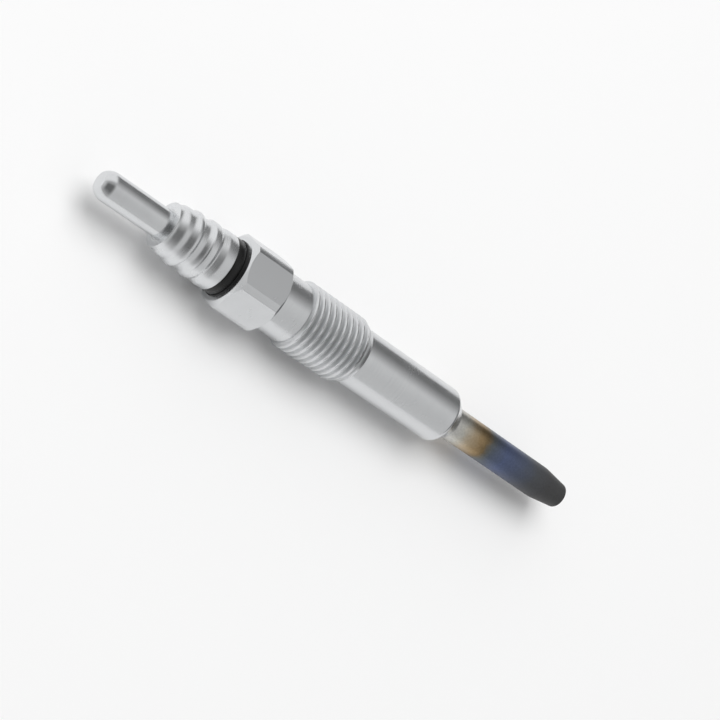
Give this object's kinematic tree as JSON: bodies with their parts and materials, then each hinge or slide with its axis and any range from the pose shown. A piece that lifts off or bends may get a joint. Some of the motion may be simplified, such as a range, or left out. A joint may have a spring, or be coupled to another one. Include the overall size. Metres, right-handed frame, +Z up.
{
  "type": "diesel glow plug",
  "caption": "Sheathed-element glow plug: plain terminal pin, stepped snap nut, black insulator, chamfered hexagon, threaded body with a conical seat, and a long heat-blued glow tube.",
  "frame": {"origin": "middle of the box's base, on the ground under the plug's mid-length", "axes": "+X along the plug's axis towards the glowing tip, +Z up out of the hexagon's top flat, with the plug lying on the flat below"},
  "size_m": [0.1048, 0.0132, 0.012],
  "materials": {
    "pin_steel": "satin turned steel",
    "nut_steel": "satin turned steel",
    "insulator": "semi-gloss black",
    "seal_rubber": "matte black",
    "body_steel": "satin zinc plate",
    "tube_alloy": "heat-tinted, charcoal at the tip",
    "heater_rubber": "matte",
    "regulating_wire": "drawn wire",
    "heating_wire": "drawn wire",
    "magnesia": "packed powder"
  },
  "bodies": {
    "root": {"terminal_pin": "pin_steel", "round_nut": "nut_steel", "insulating_washer": "insulator", "seal_ring": "seal_rubber", "plug_body": "body_steel", "glow_tube": "tube_alloy", "heater_seal": "heater_rubber", "regulating_coil": "regulating_wire", "heating_coil": "heating_wire", "filling_powder": "magnesia"}
  },
  "joints": []
}
